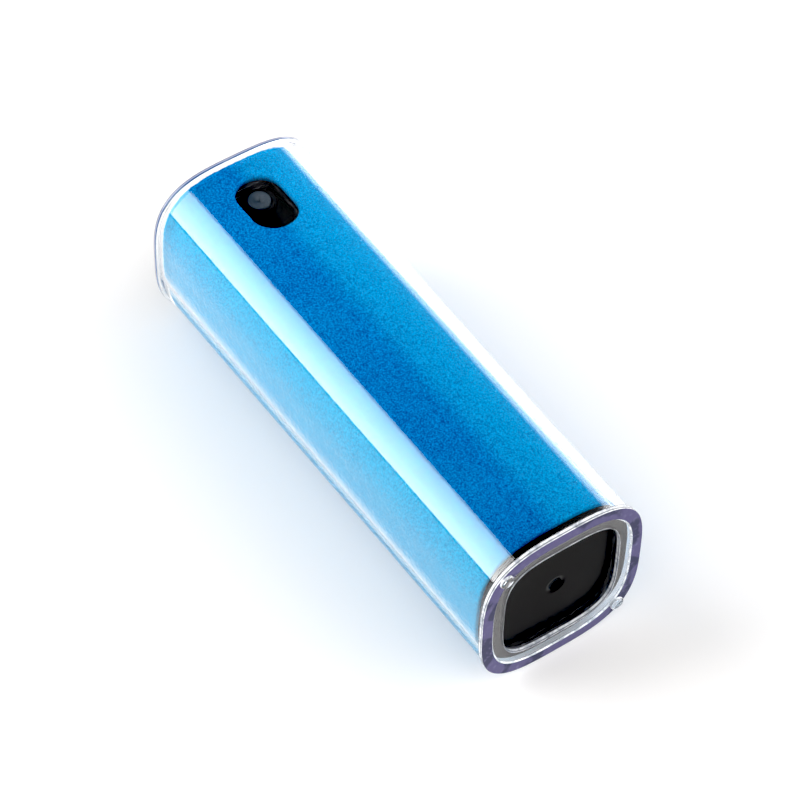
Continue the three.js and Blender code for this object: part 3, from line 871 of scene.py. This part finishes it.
# ---- stage, light and camera ----------------------------------------------------------------------
def make_world():
    """A studio drawn by direction, with each light shaped by its own ramps. The camera sees plain white."""
    world = bpy.data.worlds.new("studio")
    bpy.context.scene.world = world
    world.use_nodes = True
    t = Tree(world.node_tree)
    ray = t.add("ShaderNodeSeparateXYZ", {0: t.add("ShaderNodeTexCoord").outputs["Generated"]})
    x, y, z = ray.outputs[0], ray.outputs[1], ray.outputs[2]
    lean = t.degrees(y, z)      # from the zenith, + to +Y
    aside = t.math("ABSOLUTE", t.math("SUBTRACT", x, BOX_X))
    left = t.product(
        t.ramp(lean, -19.5, -20.5),
        t.ramp(lean, -87.3, -86.3),
        t.ramp(lean, -80.0, -24.0, LEFT_NEAR, LEFT_FAR, smooth=False),
        t.ramp(aside, BOX_HALF + BOX_FADE, BOX_HALF),
    )
    right = t.product(t.ramp(lean, 66.0, 76.0), t.ramp(lean, 91.0, 90.0), RIGHT_LEVEL)
    key = t.product(
        t.ramp(x, KEY_X, KEY_X + 0.25),
        t.ramp(z, 0.1, 0.35),
        t.ramp(y, -0.9, 0.7, KEY_LEFT, KEY_RIGHT, smooth=False),
    )
    back = t.product(t.ramp(x, -0.72, -0.86), t.ramp(z, 0.05, 0.2), BACK_LEVEL)
    ambient = t.ramp(lean, 24.0, 27.0, SHADE, AMBIENT)
    total = left
    for part in (right, key, back, ambient):
        total = t.math("ADD", total, part)
    light = t.add("ShaderNodeBackground", {"Color": rgb(1.0, 0.995, 0.99), "Strength": total})
    plain = t.add("ShaderNodeBackground", {"Color": WHITE_LIGHT, "Strength": 1.0})
    seen = t.add("ShaderNodeLightPath").outputs["Is Camera Ray"]
    mixed = t.add("ShaderNodeMixShader", {0: seen, 1: light.outputs[0], 2: plain.outputs[0]})
    t.add("ShaderNodeOutputWorld", {"Surface": mixed.outputs[0]})


def make_floor():
    made, t = material("table")
    tint = t.mix(t.noise(8.0, 2.0, 0.5), rgb(0.86, 0.853, 0.85), rgb(0.875, 0.868, 0.865))
    shader = t.add("ShaderNodeBsdfPrincipled", {
        "Base Color": tint, "Roughness": 0.8, "Specular IOR Level": 0.1,
    })
    finish_with(t, shader.outputs[0])
    corners = [(x * TABLE_HALF, y * TABLE_HALF, 0) for x, y in ((-1, -1), (1, -1), (1, 1), (-1, 1))]
    mesh_object("table_top", corners, [(0, 1, 2, 3)], [made], smooth=False)


def make_camera():
    azimuth, elevation, roll = [math.radians(turn) for turn in CAMERA_TURNS]
    flat = math.cos(elevation)
    back = Vector((math.sin(azimuth) * flat, -math.cos(azimuth) * flat, math.sin(elevation)))
    level = Vector((0, 0, 1)).cross(back).normalized()
    high = back.cross(level)
    right = level * math.cos(roll) + high * math.sin(roll)
    up = high * math.cos(roll) - level * math.sin(roll)
    aim = Vector((MIDDLE_X, 0, AXIS_Z)) + right * AIM_RIGHT * MM - up * AIM_DOWN * MM
    data = bpy.data.cameras.new("camera")
    data.sensor_width = 36.0
    data.lens = CAMERA_LENS
    data.clip_start = 0.01
    camera = bpy.data.objects.new("camera", data)
    bpy.context.scene.collection.objects.link(camera)
    camera.matrix_world = Matrix((
        (right.x, up.x, back.x, 0), (right.y, up.y, back.y, 0), (right.z, up.z, back.z, 0), (0, 0, 0, 1),
    ))
    camera.location = aim + back * CAMERA_DISTANCE * MM
    bpy.context.scene.camera = camera


def set_tones():
    """A contrasty studio picture: the deepest tones go to black."""
    settings = bpy.context.scene.view_settings
    settings.view_transform = "Standard"
    settings.use_curve_mapping = True
    settings.curve_mapping.black_level = (BLACK_LEVEL,) * 3
    settings.curve_mapping.update()


set_tones()
make_camera()
make_floor()
make_world()

DEEP_BLACK = (0.003, 0.003, 0.0032)
BLACK = dark_plastic("black_plastic", DEEP_BLACK, 0.16, 0.24, 0.25 * MM, shine=0.2)
DULL = dark_plastic("dull_black", DEEP_BLACK, 0.42, 0.52, 0.25 * MM, shine=0.2)
SATIN = dark_plastic("satin_black", (0.022, 0.022, 0.024), 0.3, 0.42, 0.3 * MM, shine=0.5)
# painted shade: the base's dimple, in a blacker, duller black
PAINTED_DIMPLE_SHADE = dark_plastic("dimple_painted_shade", (0.0012, 0.0012, 0.0012), 0.2, 0.3, 0.4 * MM, shine=0.1)
GREY = dark_plastic("nozzle_grey", (0.052, 0.066, 0.078), 0.35, 0.5, 0.2 * MM, shine=0.3)
WHITE = moulded("natural_white", (0.78, 0.79, 0.77), 0.4, subsurface=0.2)
BOTTLE = moulded("bottle_natural", (0.76, 0.78, 0.78), 0.3, subsurface=0.3)
GASKET = moulded("gasket_white", (0.58, 0.58, 0.55), 0.7)
STEEL = drawn_steel()

make_cover([clear_plastic(), painted_piped_light(), frosted_plastic_painted_light(), painted_lip_light()])
make_sleeve(blue_microfiber())
make_housing(BLACK)
make_base(BLACK, PAINTED_DIMPLE_SHADE)
make_nozzle(GREY)
make_button(SATIN)
make_collar(SATIN)
make_spring(STEEL)

dress("bottle_bracket", SATIN)
dress("actuator_head", DULL)
for part in ("pump_closure", "pump_housing", "stem_retainer", "pump_piston", "pump_stem"):
    dress(part, WHITE)
for part in ("bottle", "dip_tube"):
    dress(part, BOTTLE)
dress("neck_gasket", GASKET)
dress("inlet_ball", STEEL)
